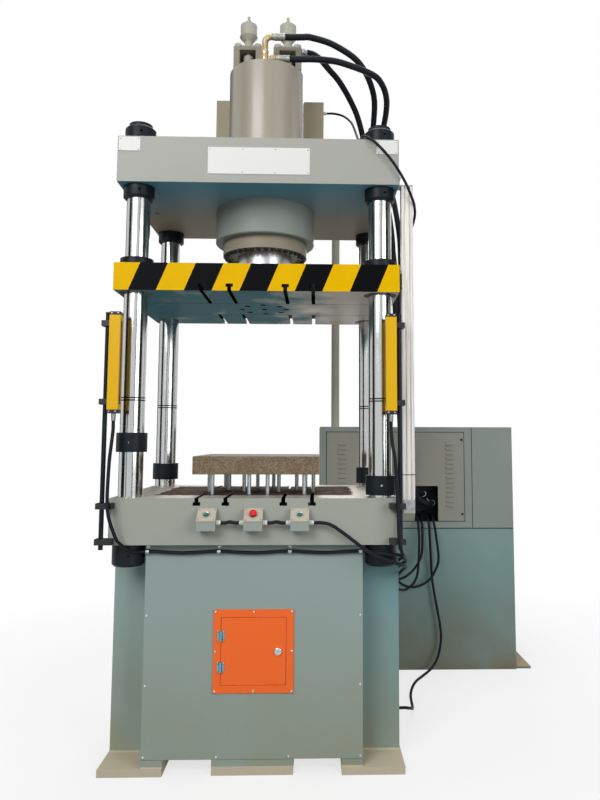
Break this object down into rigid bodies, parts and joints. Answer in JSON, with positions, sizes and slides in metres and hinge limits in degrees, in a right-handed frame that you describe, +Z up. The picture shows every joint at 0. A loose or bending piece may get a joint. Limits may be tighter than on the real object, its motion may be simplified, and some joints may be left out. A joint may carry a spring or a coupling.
{
  "type": "four-column hydraulic press",
  "caption": "Four-column hydraulic press with a striped slide, die cushion, light curtains, button boxes and a hosed power unit.",
  "frame": {"origin": "on the floor under the ram's axis", "axes": "+Z up along the ram, +X to the operator's right, front towards -Y"},
  "size_m": [1.837, 1.7603, 2.953],
  "materials": {
    "grey_paint": "satin enamel",
    "pale_paint": "satin enamel",
    "unit_paint": "satin enamel",
    "orange_paint": "gloss enamel",
    "yellow_paint": "satin enamel",
    "plate_finish": "matt enamel",
    "motor_paint": "satin enamel",
    "chrome": "hard chrome, polished",
    "bright_steel": "ground and plated",
    "dark_steel": "black oxide",
    "rusty_steel": "rough, lightly rusted",
    "brass": "turned",
    "aluminium": "anodised extrusion",
    "hose_rubber": "smooth",
    "box_plastic": "fine grain",
    "lid_plastic": "fine grain",
    "white_plastic": "smooth",
    "black_plastic": "fine grain",
    "green_plastic": "gloss",
    "red_plastic": "gloss"
  },
  "bodies": {
    "frame": {"base_frame": "grey_paint", "base_covers": "grey_paint", "cover_screws": "bright_steel", "door_surround": "orange_paint", "bolster": "grey_paint", "columns": "chrome", "column_nuts": "dark_steel", "stop_collars": "dark_steel", "crosshead": "grey_paint", "cylinder_barrel": "pale_paint", "lock_ring": "grey_paint", "gland_ring": "bright_steel", "gland_screws": "dark_steel", "fill_tank": "pale_paint", "prefill_yokes": "pale_paint", "prefill_actuators": "pale_paint", "oil_pipes": "pale_paint", "hose_fittings": "brass", "hose_upper": "hose_rubber", "hose_lower": "hose_rubber", "hose_rear": "hose_rubber", "blank_plates": "plate_finish", "curtain_poles": "dark_steel", "pole_clamps": "black_plastic", "curtain_housings": "yellow_paint", "curtain_caps": "black_plastic", "sensor_rail": "aluminium", "rail_brackets": "bright_steel", "button_boxes": "box_plastic", "button_lids": "lid_plastic", "cable_glands": "white_plastic", "box_leads": "hose_rubber", "button_lead": "hose_rubber", "curtain_lead_left": "hose_rubber", "curtain_lead_right": "hose_rubber", "sensor_lead": "hose_rubber", "supply_lead": "hose_rubber", "cable_clips": "bright_steel", "oil_tank": "unit_paint", "pump_cabinet": "unit_paint", "louvre_panel": "unit_paint", "motor_body": "motor_paint", "pump_body": "motor_paint", "valve_manifold": "dark_steel", "cushion_cylinder": "motor_paint"},
    "slide": {"slide_plate": "yellow_paint", "guide_bushes": "dark_steel", "ram": "chrome", "rail_carriage": "black_plastic"},
    "cushion": {"cushion_platen": "bright_steel", "cushion_pins": "bright_steel", "blank_holder": "rusty_steel"},
    "access_door": {"access_door": "orange_paint"},
    "door_lock": {"door_lock": "chrome"},
    "start_button_left": {"start_button_left": "green_plastic"},
    "start_button_right": {"start_button_right": "green_plastic"},
    "emergency_stop": {"emergency_stop": "red_plastic"},
    "motor_shaft": {"motor_shaft": "bright_steel"},
    "spindle_left": {"spindle_left": "bright_steel"},
    "spindle_right": {"spindle_right": "bright_steel"}
  },
  "joints": [
    {"name": "slide_stroke", "type": "slide", "parent": "frame", "child": "slide", "axis": [0, 0, 1], "range_m": [-0.5, 0.05]},
    {"name": "cushion_stroke", "type": "slide", "parent": "frame", "child": "cushion", "axis": [0, 0, 1], "range_m": [-0.072, 0.08]},
    {"name": "door_swing", "type": "hinge", "parent": "frame", "child": "access_door", "pos_m": [-0.11275, -0.3133, 0.413], "axis": [0, 0, -1], "range_deg": [0, 110]},
    {"name": "lock_turn", "type": "hinge", "parent": "access_door", "child": "door_lock", "pos_m": [0.085, -0.308, 0.413], "axis": [0, -1, 0], "range_deg": [0, 90]},
    {"name": "start_left_press", "type": "slide", "parent": "frame", "child": "start_button_left", "axis": [0, 0.6897, -0.7241], "range_m": [0, 0.003], "stiffness_N_per_m": 400, "springref_m": -0.002},
    {"name": "start_right_press", "type": "slide", "parent": "frame", "child": "start_button_right", "axis": [0, 0.6897, -0.7241], "range_m": [0, 0.003], "stiffness_N_per_m": 400, "springref_m": -0.002},
    {"name": "stop_press", "type": "slide", "parent": "frame", "child": "emergency_stop", "axis": [0, 0.6897, -0.7241], "range_m": [0, 0.004]},
    {"name": "motor_spin", "type": "hinge", "parent": "frame", "child": "motor_shaft", "pos_m": [0.56, 1.135, 0.836], "axis": [1, 0, 0], "continuous": true},
    {"name": "spindle_left_lift", "type": "slide", "parent": "frame", "child": "spindle_left", "axis": [0, 0, 1], "range_m": [-0.015, 0], "stiffness_N_per_m": 5000, "springref_m": 0.01},
    {"name": "spindle_right_lift", "type": "slide", "parent": "frame", "child": "spindle_right", "axis": [0, 0, 1], "range_m": [-0.015, 0], "stiffness_N_per_m": 5000, "springref_m": 0.01}
  ]
}
